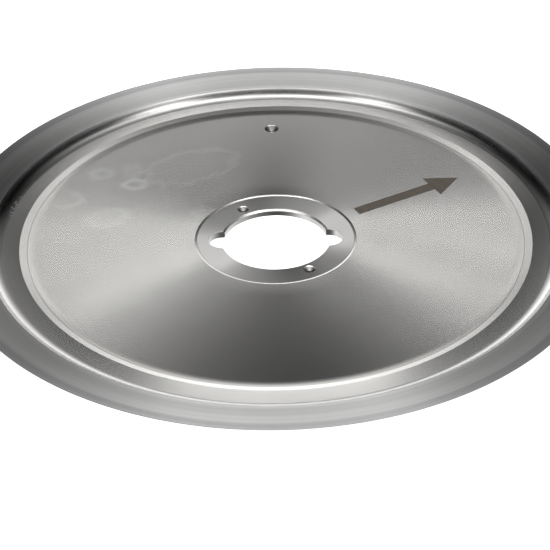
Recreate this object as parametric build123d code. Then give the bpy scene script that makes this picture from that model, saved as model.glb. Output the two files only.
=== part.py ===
"""Round knife of a food slicer: one dished stainless disc, turned from a single plate.

Units are millimetres and degrees. Z runs along the knife's axis and is 0 at the hub's back face, where the
knife seats on its drive hub. +Z points to the hollow side, which the knife cover closes. The first notch
lies on +X. The section is one closed outline of radius against height, carried once round the axis.
"""
from build123d import *
import os
from math import cos, radians, sin, tan

# Overall size
EDGE_DIAMETER = 330.2        # across the cutting edge, the 13 inch class
EDGE_HEIGHT = 12.6           # the cutting edge above the hub's back face
EDGE_LAND = 0.1              # blunt height left at the very edge

# Hollow side, from the edge inwards: widths along the radius, drops below the edge
STRIP_WIDTH = 5.1            # narrow honed strip beside the edge
STRIP_DROP = 0.46
BAND_WIDTH = 14.6            # flat-ground outer band
BAND_DROP = 2.3
COVE_WIDTH = 7.3             # hollow cove inside the band
COVE_DROP = 6.2
COVE_START_ANGLE = 5.0       # the cove leaves the shoulder's edge already rising by this much
SHOULDER_WIDTH = 8.3         # shoulder that the cover's rim sits over
SHOULDER_DROP = 5.52
WALL_WIDTH = 5.4             # sloping wall from the shoulder down to the dish
WALL_DROP = 6.77
WALL_FOOT_RADIUS = 30.0      # wide fillet at the foot of that wall

# Back side
HONED_BEVEL_WIDTH = 1.6      # steep bevel that ends in the cutting edge
HONED_BEVEL_ANGLE = 24.0
GROUND_BEVEL_WIDTH = 15.4    # long ground bevel behind it
GROUND_BEVEL_ANGLE = 16.5
RELIEF_WIDTH = 7.6           # cone from the bevel's heel down to the shoulder's back
SHOULDER_THICKNESS = 3.6     # under the bottom of the cove
RELIEF_FILLET = 8.0
PLATE_THICKNESS = 3.2        # between the seat and the foot of the dish wall
SEAT_MARGIN = 17.0           # the flat seat reaches this far past the hub recess
SEAT_STEP_WIDTH = 2.0        # sloping edge of the seat
SEAT_FILLET = 2.0

# Hub
HUB_THICKNESS = 4.2          # outside the recess
BORE_DIAMETER = 54.0
BORE_TOP_CHAMFER = 0.9
BORE_BACK_CHAMFER = 0.3
RECESS_WIDTH = 14.1          # from the bore's wall to the recess rim
RECESS_DEPTH = 0.4
RECESS_COVE_WIDTH = 1.2      # round corner of the recess, left by the tool's nose

# Notches for the drive lugs and the removal tool, on opposite sides of the bore
NOTCH_COUNT = 2
NOTCH_RADIUS = 7.4
NOTCH_DEPTH = 7.2            # from the bore's wall to the notch's end

# Two small countersunk holes in the recess, opposite each other
PIN_HOLE_COUNT = 2
PIN_HOLE_DIAMETER = 2.5
PIN_SINK_DIAMETER = 6.0
PIN_INSET = 5.65             # from the bore's wall to the hole's centre
PIN_ANGLE = 120.0            # from the first notch

# One countersunk hole near the rim of the dish
LOCATOR_DIAMETER = 3.3
LOCATOR_SINK_DIAMETER = 7.8
LOCATOR_INSET = 16.8         # from the foot of the dish wall to the hole's centre
LOCATOR_ANGLE = 90.0

SINK_ANGLE = 82.0            # full angle of every countersink, for inch screws
CUT_MARGIN = 1.0             # how far a cutter runs past the faces it opens

# Radii that follow from the sizes above
edge_radius = EDGE_DIAMETER / 2
strip_radius = edge_radius - STRIP_WIDTH
band_radius = strip_radius - BAND_WIDTH
cove_radius = band_radius - COVE_WIDTH
shoulder_radius = cove_radius - SHOULDER_WIDTH
foot_radius = shoulder_radius - WALL_WIDTH
bore_radius = BORE_DIAMETER / 2
recess_radius = bore_radius + RECESS_WIDTH
seat_radius = recess_radius + SEAT_MARGIN

# Heights that follow from the sizes above
foot_height = EDGE_HEIGHT - WALL_DROP
cove_height = EDGE_HEIGHT - COVE_DROP
recess_height = HUB_THICKNESS - RECESS_DEPTH


def dish_height(radius):
    """Height of the dish, a shallow cone from the recess rim out to the foot of its wall."""
    share = (radius - recess_radius) / (foot_radius - recess_radius)
    return HUB_THICKNESS + share * (foot_height - HUB_THICKNESS)


def hollow_side():
    """The outline of the side that faces the cover, from the edge inwards to the bore's wall."""
    edge = (edge_radius, EDGE_HEIGHT)
    strip = (strip_radius, EDGE_HEIGHT - STRIP_DROP)
    band = (band_radius, EDGE_HEIGHT - BAND_DROP)
    cove = (cove_radius, cove_height)
    shoulder = (shoulder_radius, EDGE_HEIGHT - SHOULDER_DROP)
    foot = (foot_radius, foot_height)
    recess_rim = (recess_radius, HUB_THICKNESS)
    recess_floor = (recess_radius - RECESS_COVE_WIDTH, recess_height)
    chamfer_out = (bore_radius + BORE_TOP_CHAMFER, recess_height)
    chamfer_in = (bore_radius, recess_height - BORE_TOP_CHAMFER)
    cove_start = (cos(radians(COVE_START_ANGLE)), sin(radians(COVE_START_ANGLE)))
    return [
        Polyline(edge, strip, band),
        TangentArc(cove, band, tangent=cove_start),
        Polyline(cove, shoulder, foot, recess_rim),
        TangentArc(recess_floor, recess_rim, tangent=(1, 0)),
        Polyline(recess_floor, chamfer_out, chamfer_in, (bore_radius, BORE_BACK_CHAMFER)),
    ]


def back_side():
    """The outline of the back, from the bore's wall out to the edge, and the hollow corners of it."""
    edge = (edge_radius, EDGE_HEIGHT - EDGE_LAND)
    honed = (edge[0] - HONED_BEVEL_WIDTH, edge[1] - HONED_BEVEL_WIDTH * tan(radians(HONED_BEVEL_ANGLE)))
    heel = (honed[0] - GROUND_BEVEL_WIDTH, honed[1] - GROUND_BEVEL_WIDTH * tan(radians(GROUND_BEVEL_ANGLE)))
    shoulder_back = (heel[0] - RELIEF_WIDTH, cove_height - SHOULDER_THICKNESS)
    plate_back = (foot_radius, foot_height - PLATE_THICKNESS)
    step_radius = seat_radius + SEAT_STEP_WIDTH
    seat_step = (step_radius, dish_height(step_radius) - PLATE_THICKNESS)
    seat = (seat_radius, 0)
    bore_back = (bore_radius + BORE_BACK_CHAMFER, 0)
    bore_wall = (bore_radius, BORE_BACK_CHAMFER)
    outline = Polyline(bore_wall, bore_back, seat, seat_step, plate_back, shoulder_back, heel, honed, edge)
    return outline, seat_step, shoulder_back


def blank():
    """The turned disc: both outlines closed into one section, and carried round the axis."""
    back, seat_corner, relief_corner = back_side()
    foot_corner = (foot_radius, foot_height)
    fillets = ((foot_corner, WALL_FOOT_RADIUS), (seat_corner, SEAT_FILLET), (relief_corner, RELIEF_FILLET))
    land = Line((edge_radius, EDGE_HEIGHT - EDGE_LAND), (edge_radius, EDGE_HEIGHT))
    section = make_face([*hollow_side(), back, land])
    for corner, radius in fillets:
        vertex = section.vertices().sort_by_distance(Vector(*corner))[0]
        section = fillet(vertex, radius)
    return revolve(Plane.XZ * section, axis=Axis.Z)


def around(distance, angle):
    """A place on the axis plane at a distance from the axis, turned from the first notch."""
    return distance * cos(radians(angle)), distance * sin(radians(angle))


def notches():
    """Round-ended notches that open from the bore's wall."""
    centre = bore_radius + NOTCH_DEPTH - NOTCH_RADIUS
    height = HUB_THICKNESS + 2 * CUT_MARGIN
    cutters = []
    for number in range(NOTCH_COUNT):
        x, y = around(centre, 360 / NOTCH_COUNT * number)
        cutters.append(Pos(x, y, HUB_THICKNESS / 2) * Cylinder(NOTCH_RADIUS, height))
    return cutters


def countersunk_hole(distance, angle, face_height, hole_diameter, sink_diameter):
    """A through hole whose countersink is sink_diameter wide where it meets the face."""
    x, y = around(distance, angle)
    depth = (sink_diameter - hole_diameter) / 2 / tan(radians(SINK_ANGLE / 2))
    above = sink_diameter / 2 + CUT_MARGIN * tan(radians(SINK_ANGLE / 2))
    through = face_height + 2 * CUT_MARGIN
    hole = Pos(x, y, face_height / 2) * Cylinder(hole_diameter / 2, through)
    sink_middle = face_height + (CUT_MARGIN - depth) / 2
    sink = Pos(x, y, sink_middle) * Cone(hole_diameter / 2, above, depth + CUT_MARGIN)
    return hole + sink


def small_holes():
    """The two holes of the recess and the single one near the rim of the dish."""
    holes = []
    for number in range(PIN_HOLE_COUNT):
        angle = PIN_ANGLE + 360 / PIN_HOLE_COUNT * number
        distance = bore_radius + PIN_INSET
        holes.append(
            countersunk_hole(distance, angle, recess_height, PIN_HOLE_DIAMETER, PIN_SINK_DIAMETER)
        )
    distance = foot_radius - LOCATOR_INSET
    holes.append(
        countersunk_hole(
            distance, LOCATOR_ANGLE, dish_height(distance), LOCATOR_DIAMETER, LOCATOR_SINK_DIAMETER
        )
    )
    return holes


def slicer_blade():
    """The finished knife."""
    blade = blank()
    for cutter in [*notches(), *small_holes()]:
        blade = blade - cutter
    return blade


if __name__ == "__main__":
    os.makedirs("parts", exist_ok=True)
    blade = slicer_blade()
    print("solids", len(blade.solids()), "volume in cubic centimetres", round(blade.volume / 1000, 1))
    export_step(blade, "parts/slicer_blade.step")
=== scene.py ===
# %% [markdown]
# # The round knife of a food slicer
#
# The knife is one dished disc of stainless steel, 330 mm across. It was turned on a lathe, then ground on
# its face, so nearly all of it is one outline carried round an axis. What makes it look like steel and not
# like grey paint is the direction of its tool marks: they run round the disc on the rim and outwards on the
# dish, and each stretches the light its own way. This file builds the disc as a surface worked out with
# numpy, cuts its holes, gives each turned zone its own finish, and lights it like a studio product shot.

# %% [markdown]
# ## The fixed frame
# The imported CAD model comes first. It says where the knife is and how large, in metres. Its box is kept.

# %% Load the frame
from math import cos, pi, radians, sin, tan

import bmesh
import bpy
import numpy as np
from mathutils import Matrix, Vector


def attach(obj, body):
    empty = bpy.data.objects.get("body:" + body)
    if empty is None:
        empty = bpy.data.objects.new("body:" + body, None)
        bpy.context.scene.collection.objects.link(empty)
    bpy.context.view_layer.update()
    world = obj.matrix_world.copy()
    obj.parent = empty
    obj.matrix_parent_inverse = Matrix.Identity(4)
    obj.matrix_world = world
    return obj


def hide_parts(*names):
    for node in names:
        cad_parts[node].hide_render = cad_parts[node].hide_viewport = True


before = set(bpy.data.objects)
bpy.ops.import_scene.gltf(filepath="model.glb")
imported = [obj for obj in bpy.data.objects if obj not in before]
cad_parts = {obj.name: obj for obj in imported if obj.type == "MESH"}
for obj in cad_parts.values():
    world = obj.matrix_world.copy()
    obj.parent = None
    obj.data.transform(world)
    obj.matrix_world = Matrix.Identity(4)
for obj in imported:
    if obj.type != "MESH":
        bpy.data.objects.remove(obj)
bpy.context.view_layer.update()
MM = 0.001

# %% [markdown]
# ## The camera
# The photograph looks down on the knife from about 35 degrees with a long lens. Three rings of the knife
# gave the place of the lens, because each has to be a true circle: it is 1.0 m from the middle of the hub. A
# camera in Blender looks along its own -Z, so it is first rolled about that line, then tipped up from
# straight down, then turned about the vertical.

# %% Place the camera
LENS = 127.64
SENSOR = 36.0
LOOK_DOWN = 34.62
ROLL = -1.128
TURN = -0.5
EYE = Vector((-0.70, -828.30, 552.95)) * MM

turn = Matrix.Rotation(radians(TURN), 3, "Z")
tip = Matrix.Rotation(radians(90 - LOOK_DOWN), 3, "X")
roll = Matrix.Rotation(radians(ROLL), 3, "Z")
camera_data = bpy.data.cameras.new("camera")
camera_data.lens = LENS
camera_data.sensor_width = SENSOR
camera = bpy.data.objects.new("camera", camera_data)
camera.location = turn @ EYE
camera.rotation_euler = (turn @ tip @ roll).to_euler()
bpy.context.scene.collection.objects.link(camera)
bpy.context.scene.camera = camera
print("camera distance from the middle of the hub", round(camera.location.length, 3), "m")

# %% [markdown]
# ## The section
# A turned part is fully told by its section: radius against height. The section is walked once round,
# from the bore along the back to the cutting edge and home over the hollow side. It is kept as a list of
# runs. Each run carries the name of its finish, because a lathe tool, a grinding wheel and a hone leave
# different steel behind. Two helpers make every run: a polyline whose corners can be rounded, and an arc
# that leaves a point along a given direction.

# %% Helpers for the section


def line(*points):
    """A straight run through points (radius, height)."""
    return np.array(points, float)


def arc(centre, start, end, steps):
    """Points from start to end round a centre, the short way: the angle goes evenly from one to the other."""
    centre, start, end = (np.array(p, float) for p in (centre, start, end))
    first = np.arctan2(*(start - centre)[::-1])
    sweep = np.arctan2(*(end - centre)[::-1]) - first
    sweep = (sweep + pi) % (2 * pi) - pi
    angle = first + sweep * np.linspace(0, 1, steps + 1)
    radius = np.linalg.norm(start - centre)
    return centre + radius * np.stack([np.cos(angle), np.sin(angle)], 1)


def tangent_arc(start, end, direction, steps):
    """The circle through start and end that leaves start along direction.

    Its centre lies on the normal at start, at chord squared over twice the chord's share along that normal.
    """
    start, end, direction = (np.array(p, float) for p in (start, end, direction))
    normal = np.array([-direction[1], direction[0]]) / np.linalg.norm(direction)
    chord = end - start
    centre = start + normal * (chord @ chord) / (2 * chord @ normal)
    return arc(centre, start, end, steps)


def rounded(before, corner, after, radius, steps=6):
    """The fillet of a corner: an arc that touches both sides.

    Its centre lies on the corner's middle line at radius over the sine of half the corner's angle, and it
    touches each side at radius over the tangent of that half.
    """
    before, corner, after = (np.array(p, float) for p in (before, corner, after))
    back_way = (before - corner) / np.linalg.norm(before - corner)
    on_way = (after - corner) / np.linalg.norm(after - corner)
    half = np.arccos(np.clip(back_way @ on_way, -1, 1)) / 2
    middle = (back_way + on_way) / np.linalg.norm(back_way + on_way)
    centre = corner + middle * radius / sin(half)
    reach = radius / tan(half)
    return arc(centre, corner + back_way * reach, corner + on_way * reach, steps)


# %% Named sizes, in millimetres
EDGE_RADIUS = 165.1
EDGE_HEIGHT = 12.6
EDGE_LAND = 0.1
STRIP_RADIUS, STRIP_HEIGHT = 160.0, 12.14
BAND_RADIUS, BAND_HEIGHT = 145.4, 10.3
COVE_RADIUS, COVE_HEIGHT = 138.1, 6.4
COVE_START_ANGLE = 5.0
SHOULDER_RADIUS, SHOULDER_HEIGHT = 129.8, 7.08
FOOT_RADIUS, FOOT_HEIGHT = 124.4, 5.83
FOOT_FILLET = 30.0
RECESS_RADIUS, HUB_HEIGHT = 41.1, 4.2
RECESS_FLOOR_RADIUS, RECESS_HEIGHT = 39.9, 3.8
BORE_RADIUS = 27.0
BORE_CHAMFER = 0.9
BORE_BACK_CHAMFER = 0.3
SEAT_RADIUS = 58.1
SEAT_STEP = (60.1, 1.372)  # from here to HONED: points of the back, as radius and height
PLATE_BACK = (124.4, 2.63)
SHOULDER_BACK = (140.5, 2.8)
HEEL = (148.1, 7.227)
HONED = (163.5, 11.788)
SEAT_FILLET = 2.0
RELIEF_FILLET = 8.0
BROKEN = 0.15  # radius that a deburring stone leaves on a sharp corner
RIM_ROUND = 0.4  # the recess rim is broken more, which gives its bright line


def dish_height(radius):
    """Height of the dish: a shallow cone from the recess rim out to the foot of its wall."""
    return HUB_HEIGHT + (radius - RECESS_RADIUS) / (FOOT_RADIUS - RECESS_RADIUS) * (FOOT_HEIGHT - HUB_HEIGHT)


# %% Walk the section
DISH_RINGS = (116.0, 104.0, 90.0, 70.0, 52.0)  # radii of extra rings, so that no face of the dish is long

edge = (EDGE_RADIUS, EDGE_HEIGHT)
strip = (STRIP_RADIUS, STRIP_HEIGHT)
band = (BAND_RADIUS, BAND_HEIGHT)
cove = (COVE_RADIUS, COVE_HEIGHT)
shoulder = (SHOULDER_RADIUS, SHOULDER_HEIGHT)
foot = (FOOT_RADIUS, FOOT_HEIGHT)
rim = (RECESS_RADIUS, HUB_HEIGHT)
floor_corner = (RECESS_FLOOR_RADIUS, RECESS_HEIGHT)
chamfer_out = (BORE_RADIUS + BORE_CHAMFER, RECESS_HEIGHT)
chamfer_in = (BORE_RADIUS, RECESS_HEIGHT - BORE_CHAMFER)
bore_back = (BORE_RADIUS, BORE_BACK_CHAMFER)
seat_inner = (BORE_RADIUS + BORE_BACK_CHAMFER, 0)
seat_outer = (SEAT_RADIUS, 0)
land = (EDGE_RADIUS, EDGE_HEIGHT - EDGE_LAND)

seat_round = rounded(seat_outer, SEAT_STEP, PLATE_BACK, SEAT_FILLET)
relief_round = rounded(PLATE_BACK, SHOULDER_BACK, HEEL, RELIEF_FILLET, 10)
cove_start = (cos(radians(COVE_START_ANGLE)), sin(radians(COVE_START_ANGLE)))
cove_arc = tangent_arc(cove, band, cove_start, 28)
band_round = rounded(strip, band, cove_arc[-2], BROKEN)
shoulder_round = rounded(cove, shoulder, foot, BROKEN)
foot_round = rounded(shoulder, foot, rim, FOOT_FILLET, 16)
recess_arc = tangent_arc(floor_corner, rim, (1, 0), 8)[::-1]
rim_round = rounded(foot, rim, recess_arc[1], RIM_ROUND)
dish_rings = [(radius, dish_height(radius)) for radius in DISH_RINGS]

RUNS = [
    ("back_face", line(seat_inner, seat_outer)),
    ("back_face", line(seat_outer, seat_round[0])),
    ("back_face", seat_round),
    ("back_face", line(seat_round[-1], PLATE_BACK)),
    ("back_face", line(PLATE_BACK, relief_round[0])),
    ("back_face", relief_round),
    ("back_face", line(relief_round[-1], HEEL)),
    ("ground_bevel", line(HEEL, HONED)),
    ("honed_bevel", line(HONED, land)),
    ("honed_bevel", line(land, edge)),
    ("honed_strip", line(edge, strip)),
    ("ground_band", line(strip, band_round[0])),
    ("turned_cove", band_round),
    ("turned_cove", cove_arc[-2:0:-1]),
    ("turned_shoulder", line(cove_arc[0], shoulder_round[0])),
    ("turned_shoulder", shoulder_round),
    ("ground_wall", line(shoulder_round[-1], foot_round[0])),
    ("ground_wall", foot_round),
    ("ground_dish", line(foot_round[-1], *dish_rings, rim_round[0])),
    ("bright_cut", rim_round),
    ("bright_cut", recess_arc[1:]),
    ("ground_recess", line(floor_corner, chamfer_out)),
    ("bright_cut", line(chamfer_out, chamfer_in)),
    ("bored_wall", line(chamfer_in, bore_back)),
    ("bored_wall", line(bore_back, seat_inner)),
]
FINISHES = list(dict.fromkeys(name for name, _ in RUNS)) + ["etched_mark", "sunk_wall_painted_shade"]
print(len(RUNS), "runs of the section with", len(FINISHES), "finishes")

# %% [markdown]
# ## Carrying the section round
# Blender's Spin and Screw tools turn a profile round an axis, and so does one line of numpy: a point at
# (radius, height) and a turn of angle lies at (radius cos, radius sin, height). The whole grid is worked
# out at once. Rings shared by two runs are stored once, so the skin is closed. Where two runs meet at an
# angle, the ring between them is marked sharp, which keeps the facets crisp under smooth shading.

# %% Lathe
SEGMENTS = 480
SAME_POINT = 1e-6  # millimetres


def lathe(runs, segments):
    """Points and faces of a closed section carried once round Z.

    point(i, j) = (r_i cos a_j, r_i sin a_j, z_i) with a_j = 2 pi j / segments; face (i, j) joins rings i
    and i + 1 between turns j and j + 1, wound so that its normal points out of the section.
    """
    points, finish = [], []
    for name, run in runs:
        for point in run:
            if points and np.linalg.norm(point - points[-1]) < SAME_POINT:
                continue
            if points:
                finish.append(FINISHES.index(name))
            points.append(point)
    if np.linalg.norm(points[0] - points[-1]) < SAME_POINT:
        points.pop()
    else:
        finish.append(finish[-1])
    outline = np.array(points)
    angle = 2 * pi * np.arange(segments) / segments
    radius, height = outline[:, :1], outline[:, 1:]
    grid = np.stack([radius * np.cos(angle), radius * np.sin(angle), height + 0 * angle], 2) * MM
    ring = np.arange(len(outline))[:, None] * segments
    next_ring = np.roll(ring, -1, 0)
    here = np.arange(segments)[None, :]
    there = np.roll(here, -1, 1)
    faces = np.stack([ring + here, ring + there, next_ring + there, next_ring + here], 2)
    return outline, grid.reshape(-1, 3), faces.reshape(-1, 4), np.repeat(finish, segments)


def new_mesh(name, points, faces, finish):
    """A mesh object from whole arrays, with one material slot number per face."""
    mesh = bpy.data.meshes.new(name)
    mesh.from_pydata(points.tolist(), [], faces if isinstance(faces, list) else faces.tolist())
    for finish_name in FINISHES:
        mesh.materials.append(MATERIALS[finish_name])
    mesh.polygons.foreach_set("material_index", np.asarray(finish, np.int32))
    mesh.update()
    piece = bpy.data.objects.new(name, mesh)
    bpy.context.scene.collection.objects.link(piece)
    return piece


MATERIALS = {name: bpy.data.materials.new(name) for name in FINISHES}
outline, points, faces, finish = lathe(RUNS, SEGMENTS)
blade = new_mesh("slicer_blade_steel", points, faces, finish)
print("lathed", len(outline), "rings,", len(faces), "faces")

# %% [markdown]
# ## Notches, holes and the etched arrow
# The disc has two round-ended notches in its bore, two small countersunk holes in the recess and one near
# the rim of the dish. Each cutter is a small lathed form of its own, slightly flared where it meets the
# face, so that the rim of every hole is broken like a deburred one. The arrow is etched into the dish by
# 0.04 mm: its cutter is a flat outline whose underside follows the cone of the dish. All cutters are
# joined and taken away by one exact Boolean, which keeps the slot numbers of the cutters' own faces.

# %% Cutters
HOLE_SEGMENTS = 96
BREAK = 0.12  # bevel at the rim of a plain hole
ABOVE = 2.0  # how far a cutter runs past the faces it opens
SINK_ANGLE = 82.0
SINK_BREAK = 0.3  # bevel at the rim of a countersink


def round_cutter(place, profile, row_finishes):
    """A closed cutter: radii and heights from the bottom up, turned about a vertical line through place.

    Each row of faces between two points of the profile has its own finish.
    """
    profile = np.array(profile, float)
    angle = 2 * pi * np.arange(HOLE_SEGMENTS) / HOLE_SEGMENTS
    radius, height = profile[:, :1], profile[:, 1:]
    x = place[0] + radius * np.cos(angle)
    y = place[1] + radius * np.sin(angle)
    grid = np.stack([x, y, height + 0 * angle], 2).reshape(-1, 3) * MM
    ring = np.arange(len(profile) - 1)[:, None] * HOLE_SEGMENTS
    here = np.arange(HOLE_SEGMENTS)[None, :]
    there = np.roll(here, -1, 1)
    next_ring = ring + HOLE_SEGMENTS
    sides = np.stack([ring + here, ring + there, next_ring + there, next_ring + here], 2)
    top = (len(profile) - 1) * HOLE_SEGMENTS
    lids = [list(range(HOLE_SEGMENTS))[::-1], list(range(top, top + HOLE_SEGMENTS))]
    faces = sides.reshape(-1, 4).tolist() + lids
    numbers = [FINISHES.index(name) for name in row_finishes]
    lid_numbers = [0, 0]  # the lids lie outside the disc, so no face of theirs is left on it
    return grid, faces, np.repeat(numbers, HOLE_SEGMENTS).tolist() + lid_numbers


def polar(radius, angle):
    """The place at a radius and an angle from the first notch."""
    return radius * cos(radians(angle)), radius * sin(radians(angle))


def straight_hole(radius, face_height):
    """A cutter's profile for a plain hole with both rims broken."""
    return [
        (radius + BREAK + ABOVE, -ABOVE),
        (radius + BREAK, 0),
        (radius, BREAK),
        (radius, face_height - BREAK),
        (radius + BREAK + ABOVE, face_height + ABOVE),
    ]


def sunk_hole(radius, sink_radius, face_height, back_height):
    """A cutter's profile for a hole whose countersink reaches sink_radius at the face.

    SINK_ANGLE sets its depth. The bevel at its rim makes the cone itself a degree or two narrower.
    """
    flare = tan(radians(SINK_ANGLE / 2))
    return [
        (radius + BREAK, -ABOVE),
        (radius + BREAK, back_height),
        (radius, back_height + BREAK),
        (radius, face_height - (sink_radius - radius) / flare),
        (sink_radius - SINK_BREAK, face_height - SINK_BREAK),
        (sink_radius + ABOVE, face_height + ABOVE),
    ]


NOTCH_RADIUS, NOTCH_CENTRE, NOTCH_ANGLES = 7.4, 26.8, (0, 180)
PIN_PLACE, PIN_RADIUS, PIN_SINK, PIN_ANGLES = 32.65, 1.25, 3.0, (120, 300)
LOCATOR_PLACE, LOCATOR_RADIUS, LOCATOR_SINK, LOCATOR_ANGLE = 107.6, 1.65, 3.9, 90
# The countersinks' walls take the finish with painted shade, dark for the shade inside the holes.
SUNK_FINISHES = ["sunk_wall_painted_shade"] * 4 + ["bright_cut"]
locator_face = dish_height(LOCATOR_PLACE)
locator_back = np.interp(LOCATOR_PLACE, *zip(SEAT_STEP, PLATE_BACK))
cutters = [
    round_cutter(polar(NOTCH_CENTRE, angle), straight_hole(NOTCH_RADIUS, RECESS_HEIGHT), ["bored_wall"] * 4)
    for angle in NOTCH_ANGLES
]
cutters += [
    round_cutter(polar(PIN_PLACE, angle), sunk_hole(PIN_RADIUS, PIN_SINK, RECESS_HEIGHT, 0), SUNK_FINISHES)
    for angle in PIN_ANGLES
]
locator_profile = sunk_hole(LOCATOR_RADIUS, LOCATOR_SINK, locator_face, locator_back)
cutters.append(round_cutter(polar(LOCATOR_PLACE, LOCATOR_ANGLE), locator_profile, SUNK_FINISHES))

# The arrow points outwards. Its own line lies ARROW_OFFSET to the left of the line through the axis.
ARROW_ANGLE, ARROW_OFFSET = 27.37, 0.67
ARROW_START, ARROW_NECK, ARROW_TIP = 48.2, 94.0, 110.5  # distances from the axis
SHAFT_HALF, HEAD_HALF = 3.25, 9.2
ARROW_TOP = 8.2  # height of its cutter's flat top, above the whole dish
ETCH_DEPTH = 0.04
ARROW = [
    (ARROW_START, ARROW_OFFSET - SHAFT_HALF),
    (ARROW_NECK, ARROW_OFFSET - SHAFT_HALF),
    (ARROW_NECK, ARROW_OFFSET - HEAD_HALF),
    (ARROW_TIP, ARROW_OFFSET),
    (ARROW_NECK, ARROW_OFFSET + HEAD_HALF),
    (ARROW_NECK, ARROW_OFFSET + SHAFT_HALF),
    (ARROW_START, ARROW_OFFSET + SHAFT_HALF),
]


def arrow_cutter():
    """The arrow's outline twice: below on the dish's cone less the etch's depth, above it flat."""
    along = np.array([cos(radians(ARROW_ANGLE)), sin(radians(ARROW_ANGLE))])
    left = np.array([-along[1], along[0]])
    flat = np.array([distance * along + offset * left for distance, offset in ARROW])
    bottom = dish_height(np.linalg.norm(flat, axis=1)) - ETCH_DEPTH
    low = np.column_stack([flat, bottom])
    high = np.column_stack([flat, np.full(len(flat), ARROW_TOP)])
    count = len(flat)
    head, shaft, neck = [2, 3, 4], [0, 1, 5, 6], [1, 2, 4, 5]  # numbers of points in ARROW
    under = [face[::-1] for face in (head, shaft, neck)]
    over = [[count + corner for corner in face] for face in (head, shaft, neck)]
    walls = [[i, (i + 1) % count, count + (i + 1) % count, count + i] for i in range(count)]
    faces = under + over + walls
    return np.concatenate([low, high]) * MM, faces, [FINISHES.index("etched_mark")] * len(faces)


cutters.append(arrow_cutter())
all_points, all_faces, all_finish = [], [], []
for grid, cutter_faces, cutter_finish in cutters:
    first = sum(len(block) for block in all_points)
    all_points.append(grid)
    all_faces += [[corner + first for corner in face] for face in cutter_faces]
    all_finish += cutter_finish
cutter = new_mesh("cutters", np.concatenate(all_points), all_faces, all_finish)
print(len(cutters), "cutters with", len(all_faces), "faces")

# %% Cut them all at once
cut = blade.modifiers.new("cut", "BOOLEAN")
cut.operation = "DIFFERENCE"
cut.solver = "EXACT"
cut.object = cutter
bpy.context.view_layer.update()
result = blade.evaluated_get(bpy.context.evaluated_depsgraph_get())
cut_mesh = bpy.data.meshes.new_from_object(result)
blade.modifiers.clear()
blade.data = cut_mesh
bpy.data.objects.remove(cutter)
print("after the cut", len(cut_mesh.vertices), "points", len(cut_mesh.polygons), "faces")

# %% Join the points that the cut left twice
SAME_PLACE = 1e-7  # metres


def join_twins(mesh):
    """Makes one point of each two in the same place, and counts the edges that then lack a second face."""
    work = bmesh.new()
    work.from_mesh(mesh)
    before = len(work.verts)
    bmesh.ops.remove_doubles(work, verts=work.verts, dist=SAME_PLACE)
    joined = before - len(work.verts)
    open_edges = sum(len(edge.link_faces) != 2 for edge in work.edges)
    work.to_mesh(mesh)
    work.free()
    return joined, open_edges


print("points joined and open edges:", *join_twins(cut_mesh))

# %% [markdown]
# ## Smooth shading with crisp corners
# Smooth shading blends the normals of neighbouring faces, which would blur the line between the strip and
# the band. Every edge is therefore tested. It is sharp where its two faces lean apart by more than 25
# degrees. It is also sharp where it lies on a ring at which the section turns: by more than one degree
# between two long steps, or by more than 12 where one step is short, because that may be part of a round.

# %% Mark the sharp edges
CREASE = 1.0  # least turn between two long steps, in degrees
CORNER = 25.0  # any edge past this is sharp
SHORT_TURN = 12.0  # least turn beside a short step, which may belong to a round
LONG_STEP = 1.0  # millimetres
ON_RING = 2e-3  # how near a point lies to a ring that it belongs to, in millimetres


def crease_rings(outline):
    """Radius and height of each section point beside a long step where the outline turns enough."""
    step = np.roll(outline, -1, 0) - outline
    heading = np.arctan2(step[:, 1], step[:, 0])
    bend = np.abs((np.diff(heading, prepend=heading[-1]) + pi) % (2 * pi) - pi)
    length = np.linalg.norm(step, axis=1)
    long_side = np.maximum(length, np.roll(length, 1))
    short_side = np.minimum(length, np.roll(length, 1))
    clear = (short_side > LONG_STEP) | (bend > radians(SHORT_TURN))
    return outline[(long_side > LONG_STEP) & (bend > radians(CREASE)) & clear]


def mark_sharp(mesh, rings):
    """Sharp where both ends of an edge lie on one crease ring, or where its faces lean far apart."""
    mesh.set_sharp_from_angle(angle=radians(CORNER))
    co = np.empty(len(mesh.vertices) * 3, np.float32)
    mesh.vertices.foreach_get("co", co)
    co = co.reshape(-1, 3) / MM
    place = np.stack([np.hypot(co[:, 0], co[:, 1]), co[:, 2]], 1)
    on_ring = np.full(len(place), -1)
    for number, ring in enumerate(rings):
        on_ring[np.linalg.norm(place - ring, axis=1) < ON_RING] = number
    ends = np.empty(len(mesh.edges) * 2, np.int32)
    mesh.edges.foreach_get("vertices", ends)
    ends = on_ring[ends.reshape(-1, 2)]
    crease = (ends[:, 0] >= 0) & (ends[:, 0] == ends[:, 1])
    sharp = np.zeros(len(mesh.edges), bool)
    mesh.attributes["sharp_edge"].data.foreach_get("value", sharp)
    mesh.attributes["sharp_edge"].data.foreach_set("value", sharp | crease)
    mesh.polygons.foreach_set("use_smooth", np.ones(len(mesh.polygons), bool))
    mesh.update()
    return int(crease.sum())


rings = crease_rings(outline)
print(len(rings), "crease rings,", mark_sharp(blade.data, rings), "edges on them")

# %% [markdown]
# ## Shader sums as Python
# A procedural finish is arithmetic on the place of a point: its radius, its angle, some noise. Written as
# nodes, one formula takes a page. This small class wraps the output of a node, so that plus, times and
# the rest each add their Math node. One more method makes any other node.


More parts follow.
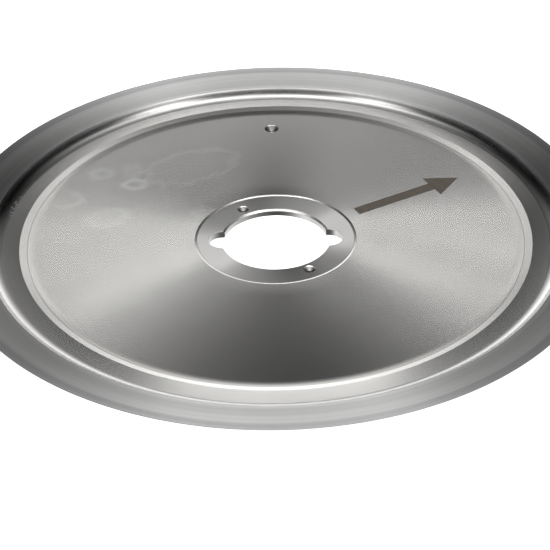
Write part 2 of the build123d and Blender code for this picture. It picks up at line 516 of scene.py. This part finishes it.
# %% The wire class
class Wire:
    """One output of a node. Arithmetic on wires adds Math nodes; node() adds any other kind."""

    def __init__(self, tree, socket=None):
        self.tree = tree
        self.socket = socket

    def node(self, kind, settings=None, inputs=None, output=0):
        """Adds a node: settings are put on it first, then values or wires on its sockets."""
        made = self.tree.nodes.new("ShaderNode" + kind)
        for name, value in (settings or {}).items():
            setattr(made, name, value)
        for place, value in (inputs or {}).items():
            if isinstance(value, Wire):
                self.tree.links.new(value.socket, made.inputs[place])
            else:
                made.inputs[place].default_value = value
        return Wire(self.tree, made.outputs[output])

    def math(self, operation, *others):
        """One Math node on this wire and the others."""
        inputs = dict(enumerate((self, *others)))
        return self.node("Math", {"operation": operation}, inputs)

    def __add__(self, other):
        return self.math("ADD", other)

    __radd__ = __add__

    def __mul__(self, other):
        return self.math("MULTIPLY", other)

    __rmul__ = __mul__

    def __sub__(self, other):
        return self.math("SUBTRACT", other)

    def __rsub__(self, other):
        return (self * -1) + other

    def __truediv__(self, other):
        return self.math("DIVIDE", other)

    def step(self, low, high):
        """0 below low, 1 above high, and a smooth rise between them."""
        inputs = {"Value": self, "From Min": low, "From Max": high}
        return self.node("MapRange", {"interpolation_type": "SMOOTHSTEP"}, inputs, "Result")

    def bell(self):
        """e to the minus square: 1 at zero and a soft fall to both sides."""
        return (self * self * -1).math("EXPONENT")

    def parts(self):
        """X, Y and Z of this vector, each as a wire."""
        split = self.node("SeparateXYZ", inputs={0: self}).socket.node
        return [Wire(self.tree, socket) for socket in split.outputs]


# %% [markdown]
# ## Places on the disc
# Every finish needs to know how far from the axis a point is and which way it lies. Object coordinates
# are in metres from the axis, so the radius is a square root. Noise sampled at the unit direction of a
# point has no seam, where noise sampled at its angle would show a jump at half a turn.


# %% Coordinates of a point on the disc
GRIND_DRIFT = 0.004  # how slowly the marks of a cup wheel change with radius, per millimetre


class Place:
    """The shaded point in millimetres: x, y, z and radius, with its unit direction as east and north."""

    def __init__(self, tree):
        metres = Wire(tree).node("TexCoord", output="Object").parts()
        self.x, self.y, self.z = (part * (1 / MM) for part in metres)
        self.radius = (self.x * self.x + self.y * self.y).math("SQRT")
        self.east = self.x / self.radius
        self.north = self.y / self.radius

    def noise(self, parts, detail, scale=1.0):
        """Noise about 0 whose three coordinates are the given wires."""
        vector = self.x.node("CombineXYZ", inputs=dict(enumerate(parts)))
        inputs = {"Vector": vector, "Scale": scale, "Detail": detail}
        return self.x.node("TexNoise", inputs=inputs, output="Fac") - 0.5

    def turned_lines(self, pitch, length):
        """Tool marks that run round the disc: noise that changes fast with radius, slowly with direction."""
        across = (self.radius + self.z) / pitch
        return self.noise((across, self.east * length, self.north * length), detail=3.0)

    def ground_lines(self, count, swirl):
        """Marks of a cup wheel: noise that changes fast with direction. The swirl bends them into arcs."""
        bend = self.radius * swirl
        sine, cosine = bend.math("SINE"), bend.math("COSINE")
        east = self.east * cosine - self.north * sine
        north = self.east * sine + self.north * cosine
        return self.noise((east, north, self.radius * GRIND_DRIFT), detail=1.0, scale=count)

    def clouds(self, size):
        """Soft blotches of about that size in millimetres."""
        return self.noise((self.x / size, self.y / size, self.z / size), detail=2.0)

    def oval(self, centre, half_axes, turn):
        """Distance from a centre as a share of an oval's own radius that way: 1 on its outline."""
        east, north = self.x - centre[0], self.y - centre[1]
        cosine, sine = cos(radians(turn)), sin(radians(turn))
        along = (east * cosine + north * sine) / half_axes[0]
        across = (north * cosine - east * sine) / half_axes[1]
        return (along * along + across * across).math("SQRT")


# %% [markdown]
# ## The steel
# Bare stainless steel is a Principled shader with Metallic 1. Its roughness is not the same in every
# direction: tool marks scatter light across themselves and hardly along themselves. Anisotropic stretches
# the highlight along the tangent, which by default runs round the Z axis of the piece. So a zone with marks
# that run outwards keeps that tangent, and a zone turned on the lathe turns it by a quarter. In the recess
# the bright fans lie 20 degrees off those of plain outward marks, so the marks there are given a lean.

# %% One function for every steel finish
def steel(name, grey, roughness, rotation, build, anisotropic=1.0, metallic=1.0):
    """Fills the material of that name.

    build(place) gives a height for the bump in millimetres, a factor for the base colour and an offset for
    the roughness.
    """
    material = MATERIALS[name]
    material.use_nodes = True
    tree = material.node_tree
    shader = tree.nodes["Principled BSDF"]
    place = Place(tree)
    height, shade, rougher = build(place)
    shader.inputs["Metallic"].default_value = metallic
    shader.inputs["Anisotropic"].default_value = anisotropic
    shader.inputs["Anisotropic Rotation"].default_value = rotation
    bump_inputs = {"Strength": 1.0, "Distance": MM, "Height": height}
    bump = place.x.node("Bump", inputs=bump_inputs, output="Normal")
    tree.links.new(bump.socket, shader.inputs["Normal"])
    tint = place.x.node("CombineColor", inputs={i: shade * v for i, v in enumerate(grey)})
    tree.links.new(tint.socket, shader.inputs["Base Color"])
    tree.links.new((rougher + roughness).socket, shader.inputs["Roughness"])


# %% Directions of the tool marks, as a turn of the tangent in full turns
ACROSS = 0.0  # marks that run outwards from the axis
AROUND = 0.25  # marks that run round it
SLANTED = 0.96  # marks that run outwards and lean to one side, in the recess

# %% Turned and honed finishes
RING_CHANGE = 3.0  # how often a ring's strength changes on its way round
TURNED_CLOUDS = 14.0  # millimetres
SHADE_CLOUDS = 0.04
RINGS_ROUGHER, CLOUDS_ROUGHER = 0.05, 0.04


def turned(pitch, height, uneven=1.0):
    """A lathe or honing finish: fine rings and slow clouds. uneven scales how far its roughness varies."""

    def build(place):
        rings = place.turned_lines(pitch, RING_CHANGE)
        cloud = place.clouds(TURNED_CLOUDS)
        rougher = rings * (RINGS_ROUGHER * uneven) + cloud * (CLOUDS_ROUGHER * uneven)
        return rings * height, 1 + cloud * SHADE_CLOUDS + rings * SHADE_CLOUDS, rougher

    return build


# %% Streaked finish
STREAK_CHANGE = 1.3  # how often a streak's strength changes on its way round
FINE_PITCH = 0.4
STREAKED_CLOUDS = 9.0  # millimetres
FINE_SHADE, CLOUD_SHADE = 0.05, 0.06
STREAKS_ROUGHER = 0.05


def streaked(pitch, height, depth, start=1.0, painted_sheen_rises=()):
    """A ground finish: long streaks round the disc over fine rings.

    Its brightness begins at start and changes by each rise, given as two radii and the change between them:
    these rises are painted reflection, rings of painted sheen across the slope.
    """

    def build(place):
        streaks = place.turned_lines(pitch, STREAK_CHANGE)
        rings = place.turned_lines(FINE_PITCH, RING_CHANGE)
        cloud = place.clouds(STREAKED_CLOUDS)
        shade = streaks * depth + rings * FINE_SHADE + cloud * CLOUD_SHADE + start
        for low, high, change in painted_sheen_rises:
            shade = shade + place.radius.step(low, high) * change
        return rings * height, shade, streaks * STREAKS_ROUGHER + cloud * CLOUDS_ROUGHER

    return build


# %% Face-ground finish, on the dish, the recess and the wall
ARCS = 24.0  # how finely the marks of the cup wheel stand beside each other
ARC_SWIRL = 0.012  # how far they bend, in radians per millimetre of radius
FACE_HEIGHT = 0.0001
FACE_CLOUDS = 22.0  # millimetres
FACE_SHADE, ARC_SHADE, FACE_ROUGHER = 0.05, 0.02, 0.02


def ground(place):
    """A face-grinding finish: fine arcs that run outwards, and soft clouds."""
    arcs = place.ground_lines(ARCS, ARC_SWIRL)
    cloud = place.clouds(FACE_CLOUDS)
    return arcs * FACE_HEIGHT, 1 + cloud * FACE_SHADE + arcs * ARC_SHADE, cloud * FACE_ROUGHER


# %% Wall
FOOT_LINE, FOOT_LINE_HALF = 125.9, 0.35  # radius and half width of the line
# Painted shade: the base colour is darkened in a thin ring in the hollow near the wall's foot.
FOOT_PAINTED_SHADE, WALL_SHADE = 0.3, 0.04


def wall_with_painted_foot_shade(place):
    """The wall's finish, with a thin dark ring of painted shade in the hollow near the wall's foot."""
    line = ((place.radius - FOOT_LINE) / FOOT_LINE_HALF).bell()
    cloud = place.clouds(FACE_CLOUDS)
    return cloud * FACE_HEIGHT, 1 + cloud * WALL_SHADE - line * FOOT_PAINTED_SHADE, cloud * FACE_ROUGHER


# %% [markdown]
# ## Marks of use
# Drops that dried on the dish left rings: most of what was in the water settles at a drop's edge. Each is an
# oval whose outline wobbles a little. A patch of grit sticks in the cove, made of the peaks of a fine noise.

# %% Dried drops
STAINS = [  # centre, half axes, turn of the long one, brightness of the outline and of the inside
    ((-91.8, 63.9), (5.2, 4.6), 0, 0.13, 0.03),
    ((-73.7, 53.0), (5.2, 4.0), 0, 0.20, 0.03),
    ((-75.0, 66.0), (4.0, 6.0), 0, 0.09, 0.06),
    ((-44.0, 70.0), (26.0, 14.0), 25, 0.10, 0.03),
    ((-109.2, 39.1), (8.0, 8.0), 0, 0.10, 0.05),
    ((-86.6, 20.3), (10.0, 7.0), 30, 0.08, 0.05),
    ((-36.6, 25.4), (5.0, 4.0), 0, 0.08, 0.08),
]
STAIN_EDGE = 1.8  # half width of a dried outline
STAIN_WOBBLE, WOBBLE_SIZE = 0.8, 6.0
STAIN_INSIDE = (1.0, 0.5)  # shares of an oval where its paler inside begins and is full


def stained(place):
    """The dish's finish with dried drops: pale outlines round insides a little paler than the dish."""
    height, shade, rougher = ground(place)
    for centre, half_axes, turn, outline, inside in STAINS:
        share = place.oval(centre, half_axes, turn)
        edge_width = STAIN_EDGE / min(half_axes)
        wobble = place.clouds(WOBBLE_SIZE) * STAIN_WOBBLE
        shade = shade + ((share - 1 + wobble) / edge_width).bell() * outline
        shade = shade + share.step(*STAIN_INSIDE) * inside
    return height, shade, rougher


# %% Grit
GRIT_PLACE, GRIT_AXES, GRIT_TURN = (-133.5, 32.0), (4.5, 12.0), -13
GRIT_FADE = (1.2, 0.6)  # shares of its oval where the patch begins and is full
GRAIN_SIZE, GRAIN_PEAKS = 0.9, (0.10, 0.20)
GRAIN_HEIGHT, GRAIN_SHADE, GRAIN_ROUGHER = 0.02, 0.8, 0.35


def specked(place):
    """The cove's finish, with a patch of grit near its left end that catches the light."""
    height, shade, rougher = turned(pitch=0.5, height=0.0002)(place)
    near = place.oval(GRIT_PLACE, GRIT_AXES, GRIT_TURN).step(*GRIT_FADE)
    grains = place.clouds(GRAIN_SIZE).step(*GRAIN_PEAKS) * near
    return height + grains * GRAIN_HEIGHT, shade + grains * GRAIN_SHADE, rougher + grains * GRAIN_ROUGHER


# %% [markdown]
# ## The finishes of the disc
# Each material gets its grey, its roughness and the direction of its marks. The greys of the dish, recess,
# wall, shoulder, band and strip were worked out together with the light by a least-squares fit to the
# photograph's brightness, run outside this file. The cove's was then set by eye.

# %% Greys and roughness of the hollow side
steel("ground_dish", (0.831, 0.821, 0.799), 0.264, ACROSS, stained)
steel("ground_recess", (0.758, 0.750, 0.735), 0.287, SLANTED, ground)
steel("ground_wall", (0.858, 0.847, 0.824), 0.252, ACROSS, wall_with_painted_foot_shade)
shoulder_marks = turned(pitch=0.5, height=0.0001, uneven=0.1)
steel("turned_shoulder", (0.821, 0.813, 0.794), 0.272, AROUND, shoulder_marks)
steel("turned_cove", (0.581, 0.575, 0.565), 0.154, AROUND, specked)
# Painted reflection: these rises brighten and darken rings across the band, standing in for how the light
# falls on its slightly curved slopes.
BAND_PAINTED_SHEEN = ((146.4, 148.6, -0.14), (148.8, 158.4, 0.15), (158.9, 160.2, -0.12))
band_marks = streaked(pitch=1.6, height=0.0008, depth=0.30, start=1.05, painted_sheen_rises=BAND_PAINTED_SHEEN)
steel("ground_band", (0.576, 0.573, 0.569), 0.453, AROUND, band_marks)
# Painted reflection on the strip too: a darker ring at its inner edge and a brighter one towards the cutting
# edge.
STRIP_PAINTED_SHEEN = ((160.0, 160.8, -0.08), (161.4, 164.6, 0.12))
strip_marks = streaked(pitch=1.0, height=0.0008, depth=0.25, start=0.90, painted_sheen_rises=STRIP_PAINTED_SHEEN)
steel("honed_strip", (0.573, 0.573, 0.573), 0.453, AROUND, strip_marks)

# %% Holes and edges
cut_marks = turned(pitch=0.5, height=0.0002)
bored_marks = turned(pitch=0.4, height=0.0003)
steel("bright_cut", (0.90, 0.89, 0.87), 0.245, AROUND, cut_marks, anisotropic=0.0)
# Painted shade: the countersinks' walls get a dark grey that stands in for the shade deep in the small holes.
steel("sunk_wall_painted_shade", (0.22, 0.215, 0.205), 0.30, AROUND, bored_marks, anisotropic=0.0)
steel("bored_wall", (0.60, 0.595, 0.58), 0.35, AROUND, bored_marks, anisotropic=0.5)

# %% The back, which the photograph doesn't show
back_marks = turned(pitch=0.5, height=0.0006)
bevel_marks = streaked(pitch=1.6, height=0.0008, depth=0.10)
honed_marks = turned(pitch=0.4, height=0.0006)
steel("back_face", (0.60, 0.595, 0.58), 0.42, AROUND, back_marks, anisotropic=0.9)
steel("ground_bevel", (0.56, 0.557, 0.55), 0.42, AROUND, bevel_marks, anisotropic=0.9)
steel("honed_bevel", (0.60, 0.598, 0.59), 0.32, AROUND, honed_marks, anisotropic=0.9)

# %% [markdown]
# ## The etched arrow's finish
# The arrow is dark and dull, as etched steel is. Its brown-grey looks like a thin oxide, and its faint
# slanting hatch lines like the print of a stencil's gauze.

# %% Etched mark
HATCH_EAST, HATCH_NORTH = 0.83, 0.56  # the direction that the hatch lines cross
HATCH_SIZE = 0.9  # millimetres per radian of the wave, so that a line comes every 5.6
HATCH_HEIGHT, HATCH_SHADE, HATCH_ROUGHER = 0.0015, 0.06, 0.02
BLOTCH_SIZE, BLOTCH_SHADE, BLOTCH_ROUGHER = 5.0, 0.5, 0.1


def etch(place):
    """Slanting hatch and blotches on a dull mark: the hatch is a sine of the distance across its lines."""
    hatch = ((place.x * HATCH_EAST + place.y * HATCH_NORTH) / HATCH_SIZE).math("SINE")
    cloud = place.clouds(BLOTCH_SIZE)
    shade = 1 + hatch * HATCH_SHADE + cloud * BLOTCH_SHADE
    return hatch * HATCH_HEIGHT, shade, cloud * BLOTCH_ROUGHER + hatch * HATCH_ROUGHER


steel("etched_mark", (0.105, 0.088, 0.070), 0.55, ACROSS, etch, anisotropic=0.0, metallic=0.35)
print(len(FINISHES), "finishes filled")

# %% [markdown]
# ## The studio
# Polished metal shows nothing but its surroundings, so the light is most of its look. The knife lies in a
# light tent, a sphere of 1.3 m radius whose inner side glows. A tent that near lights the rim and the hub
# from different directions, as in the photograph. Its glow is a sum of soft lobes, each a bell in azimuth
# and elevation, like large diffusers, less one dark patch on the camera's side. Azimuth 0 is straight
# behind the knife and grows to the right. The camera doesn't see the tent but plain white. The numbers of
# the lobes, of the patch and of the light below the horizon weren't chosen by hand: a least-squares fit to
# the photograph's brightness, run outside this file, made them.

# %% Light tent
TENT_RADIUS = 1.3
LOW_BACK, LOW_FRONT = 1.40, 0.02  # below the horizon, behind the knife and on the camera's side
HORIZON = 1.0  # half height of the soft change there, in degrees
PATCH_AZIMUTH, PATCH_ELEVATION = 176.3, 65.0
PATCH_ACROSS, PATCH_UP, PATCH_DEPTH = 45.9, 9.0, 0.97  # half widths, and the share of light it takes away
LOBES = [  # azimuth, elevation, half width across, half width up, strength
    (77.8, 71.7, 23.2, 6.0, 2.51),
    (-6.8, 2.7, 12.8, 19.9, 2.36),
    (-8.1, 69.4, 21.0, 7.5, 3.80),
    (-85.2, 8.3, 21.7, 9.8, 3.80),
    (20.8, 68.8, 11.4, 12.8, 3.02),
    (-0.2, 50.0, 6.0, 6.0, 0.66),
    (-26.2, 65.6, 8.0, 8.9, 1.83),
    (-161.0, 40.5, 37.8, 17.3, 3.80),
    (110.3, 10.8, 29.6, 14.1, 3.80),
    (146.9, 45.5, 33.6, 11.6, 3.80),
    (-116.4, 3.8, 18.5, 26.9, 3.76),
    (59.8, 71.5, 8.8, 6.0, 3.80),
    (-73.1, 72.8, 20.5, 6.0, 3.46),
    (12.9, 8.3, 9.4, 14.0, 1.57),
]


def globe(name, radius, across=48, up=24):
    """A sphere of quads and triangles about the origin."""
    angle = 2 * pi * np.arange(across) / across
    lift = pi * (np.arange(1, up) / up - 0.5)
    rows = np.stack(
        [
            np.outer(np.cos(lift), np.cos(angle)),
            np.outer(np.cos(lift), np.sin(angle)),
            np.outer(np.sin(lift), np.ones(across)),
        ],
        2,
    ).reshape(-1, 3)
    points = np.concatenate([rows, [[0, 0, -1], [0, 0, 1]]]) * radius
    bottom, top = len(points) - 2, len(points) - 1
    here = np.arange(across)
    there = np.roll(here, -1)
    faces = []
    for row in range(up - 2):
        low, high = row * across, (row + 1) * across
        faces += np.stack([low + here, low + there, high + there, high + here], 1).tolist()
    last = (up - 2) * across
    faces += [[bottom, j, i] for i, j in zip(here.tolist(), there.tolist())]
    faces += [[top, last + i, last + j] for i, j in zip(here.tolist(), there.tolist())]
    mesh = bpy.data.meshes.new(name)
    mesh.from_pydata(points.tolist(), [], faces)
    made = bpy.data.objects.new(name, mesh)
    bpy.context.scene.collection.objects.link(made)
    return made


def tent_glow(tree):
    """The strength of the glow at a point of the tent, from its azimuth and elevation.

    A lobe has fallen to 1/e of its strength one half width from its middle. The patch's bell in azimuth is
    taken of the square, so that it is flat in the middle.
    """
    way = Wire(tree).node("TexCoord", output="Object")
    way = way.node("VectorMath", {"operation": "NORMALIZE"}, {0: way}, "Vector")
    x, y, z = way.parts()
    bearing = x.math("ARCTAN2", y)
    azimuth = bearing * (180 / pi)
    elevation = z.math("ARCSINE") * (180 / pi)

    def beside(middle, across):
        """Azimuth from a lobe's middle, the short way round, as a share of its half width."""
        return (azimuth - middle).math("WRAP", 180.0, -180.0) / across

    behind = (bearing.math("COSINE") + 1) / 2
    light = (behind * (LOW_BACK - LOW_FRONT) + LOW_FRONT) * elevation.step(HORIZON, -HORIZON)
    for lobe_azimuth, lobe_elevation, across, up, strength in LOBES:
        rise = (elevation - lobe_elevation) / up
        light = light + beside(lobe_azimuth, across).bell() * rise.bell() * strength
    side = beside(PATCH_AZIMUTH, PATCH_ACROSS)
    rise = (elevation - PATCH_ELEVATION) / PATCH_UP
    return light * (1 - (side * side).bell() * rise.bell() * PATCH_DEPTH)


tent = globe("light_tent", TENT_RADIUS)
cloth = bpy.data.materials.new("tent_cloth")
cloth.use_nodes = True
tent.data.materials.append(cloth)
tree = cloth.node_tree
tree.nodes.remove(tree.nodes["Principled BSDF"])
glow = Wire(tree).node("Emission", inputs={"Color": (1, 1, 1, 1), "Strength": tent_glow(tree)})
tree.links.new(glow.socket, tree.nodes["Material Output"].inputs["Surface"])
tent.visible_camera = False
cloth.cycles.emission_sampling = "NONE"  # the steel's own reflections find the tent, with less noise
print(len(LOBES), "soft lobes in the tent")

# %% World
BACKDROP = 1.1  # strength of the plain white that the camera sees beyond the floor

world = bpy.data.worlds.new("studio")
bpy.context.scene.world = world
world.use_nodes = True
background = world.node_tree.nodes["Background"]
background.inputs["Color"].default_value = (1, 1, 1, 1)
background.inputs["Strength"].default_value = BACKDROP
print("plain white world of strength", BACKDROP)

# %% [markdown]
# ## The floor
# The photograph's ground is pure white. The floor is a large pale plane with a little light of its own, so
# that it burns out to white the way an overexposed sweep does. The steel doesn't mirror it but the lower
# half of the tent, which is dark on the camera's side and bright behind the knife. From below the floor is
# clear, so the back of the knife can be looked at too.

# %% Floor
FLOOR_SIZE = 6.0
FLOOR_GLOW, FLOOR_ROUGHNESS = 1.0, 0.9
FLOOR_PAINT = (0.86, 0.86, 0.85, 1)
FLOOR_LIGHT = (1, 1, 0.99, 1)

half = FLOOR_SIZE / 2
corners = [(-half, -half, 0), (half, -half, 0), (half, half, 0), (-half, half, 0)]
floor_mesh = bpy.data.meshes.new("floor")
floor_mesh.from_pydata(corners, [], [(0, 1, 2, 3)])
floor = bpy.data.objects.new("floor", floor_mesh)
bpy.context.scene.collection.objects.link(floor)
paint = bpy.data.materials.new("pale_floor")
paint.use_nodes = True
floor_mesh.materials.append(paint)
tree = paint.node_tree
shader = tree.nodes["Principled BSDF"]
shader.inputs["Base Color"].default_value = FLOOR_PAINT
shader.inputs["Roughness"].default_value = FLOOR_ROUGHNESS
shader.inputs["Emission Color"].default_value = FLOOR_LIGHT
shader.inputs["Emission Strength"].default_value = FLOOR_GLOW
below = Wire(tree).node("NewGeometry", output="Backfacing")
clear = below.node("BsdfTransparent")
mixed = below.node("MixShader", inputs={0: below, 1: Wire(tree, shader.outputs[0]), 2: clear})
tree.links.new(mixed.socket, tree.nodes["Material Output"].inputs["Surface"])
floor.visible_glossy = False
bpy.context.scene.view_settings.view_transform = "Standard"
print("floor", FLOOR_SIZE, "m wide")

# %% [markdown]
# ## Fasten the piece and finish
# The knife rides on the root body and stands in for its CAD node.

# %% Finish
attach(blade, "root")
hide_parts("slicer_blade")
